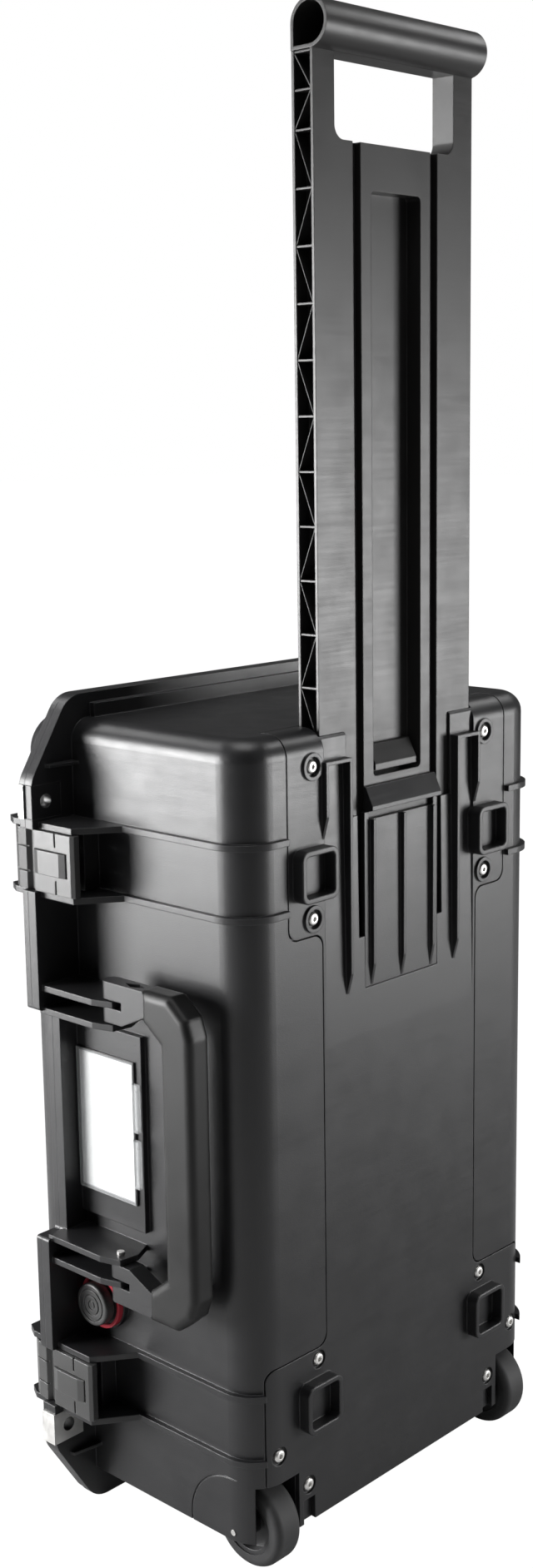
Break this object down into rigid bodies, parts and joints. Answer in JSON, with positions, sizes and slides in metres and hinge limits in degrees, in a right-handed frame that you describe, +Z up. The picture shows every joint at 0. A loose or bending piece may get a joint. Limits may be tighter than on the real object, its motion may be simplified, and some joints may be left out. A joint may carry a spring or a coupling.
{
  "type": "hard equipment case",
  "caption": "Wheeled hard-shell equipment case with a pull-out trolley handle, hinged lid, pull latches, folding carry handle and purge valve.",
  "frame": {"origin": "on the floor, under the middle of the case's footprint", "axes": "+Z up along the extended trolley handle, +Y out of the trolley and feet side (lid at -Y), +X to the latch and carry handle side"},
  "size_m": [0.3522, 0.2154, 0.963],
  "materials": {
    "case_plastic": "fine moulded texture, satin",
    "trolley_plastic": "fine moulded texture, satin",
    "handle_plastic": "smooth moulded",
    "latch_plastic": "smooth moulded",
    "hub_plastic": "moulded",
    "guide_plastic": "smooth low-friction",
    "grip_rubber": "soft-touch",
    "seal_rubber": "closed-cell",
    "tyre_rubber": "worn tread",
    "steel": "stainless",
    "card_paper": "uncoated",
    "clear_plastic": "clear, glossy",
    "red_seal": "semi-gloss"
  },
  "bodies": {
    "base": {"base_shell": "case_plastic", "trolley_cover": "case_plastic", "cover_screws": "steel", "trolley_guides": "guide_plastic", "hinge_pins": "steel", "handle_pins": "steel", "card_holder": "case_plastic", "name_card": "card_paper", "card_cover": "clear_plastic", "valve_body": "latch_plastic", "valve_ring": "red_seal", "valve_knob": "latch_plastic", "base_protector_lower": "steel", "base_protector_upper": "case_plastic", "axle_latch_side": "steel", "axle_hinge_side": "steel"},
    "lid": {"lid_shell": "case_plastic", "lid_gasket": "seal_rubber", "latch_pins": "steel", "lid_protector_lower": "steel", "lid_protector_upper": "steel"},
    "latch_upper": {"latch_upper": "latch_plastic"},
    "latch_lower": {"latch_lower": "latch_plastic"},
    "button_upper": {"latch_button_upper": "latch_plastic"},
    "button_lower": {"latch_button_lower": "latch_plastic"},
    "trolley": {"trolley_board": "trolley_plastic", "trolley_grip": "trolley_plastic", "trolley_catch": "trolley_plastic", "trolley_truss_latch_side": "trolley_plastic", "trolley_truss_hinge_side": "trolley_plastic"},
    "release_tab": {"release_tab": "case_plastic"},
    "carry_handle": {"carry_handle_core": "handle_plastic", "carry_handle_grip": "grip_rubber"},
    "wheel_latch_side": {"wheel_hub_latch_side": "hub_plastic", "wheel_tyre_latch_side": "tyre_rubber"},
    "wheel_hinge_side": {"wheel_hub_hinge_side": "hub_plastic", "wheel_tyre_hinge_side": "tyre_rubber"}
  },
  "joints": [
    {"name": "lid_hinge", "type": "hinge", "parent": "base", "child": "lid", "pos_m": [-0.1701, -0.06075, 0.279], "axis": [0, 0, -1], "range_deg": [0, 110]},
    {"name": "latch_upper_pivot", "type": "hinge", "parent": "lid", "child": "latch_upper", "pos_m": [0.1624, -0.07225, 0.45575], "axis": [0, 0, -1], "range_deg": [0, 95]},
    {"name": "latch_lower_pivot", "type": "hinge", "parent": "lid", "child": "latch_lower", "pos_m": [0.1624, -0.07225, 0.10225], "axis": [0, 0, -1], "range_deg": [0, 95]},
    {"name": "button_upper_press", "type": "slide", "parent": "latch_upper", "child": "button_upper", "axis": [-1, 0, 0], "range_m": [0, 0.002], "stiffness_N_per_m": 400},
    {"name": "button_lower_press", "type": "slide", "parent": "latch_lower", "child": "button_lower", "axis": [-1, 0, 0], "range_m": [0, 0.002], "stiffness_N_per_m": 400},
    {"name": "trolley_slide", "type": "slide", "parent": "base", "child": "trolley", "axis": [0, 0, 1], "range_m": [-0.391, 0]},
    {"name": "release_tab_flex", "type": "hinge", "parent": "base", "child": "release_tab", "pos_m": [-0.0041, 0.09725, 0.37], "axis": [-1, 0, 0], "range_deg": [0, 4], "stiffness_Nm_per_rad": 2},
    {"name": "carry_handle_pivot", "type": "hinge", "parent": "base", "child": "carry_handle", "pos_m": [0.1609, 0.00125, 0.279], "axis": [0, 0, -1], "range_deg": [0, 100]},
    {"name": "wheel_latch_side_spin", "type": "hinge", "parent": "base", "child": "wheel_latch_side", "pos_m": [0.1174, 0.07775, 0.029], "axis": [1, 0, 0], "continuous": true},
    {"name": "wheel_hinge_side_spin", "type": "hinge", "parent": "base", "child": "wheel_hinge_side", "pos_m": [-0.1256, 0.07775, 0.029], "axis": [1, 0, 0], "continuous": true}
  ]
}
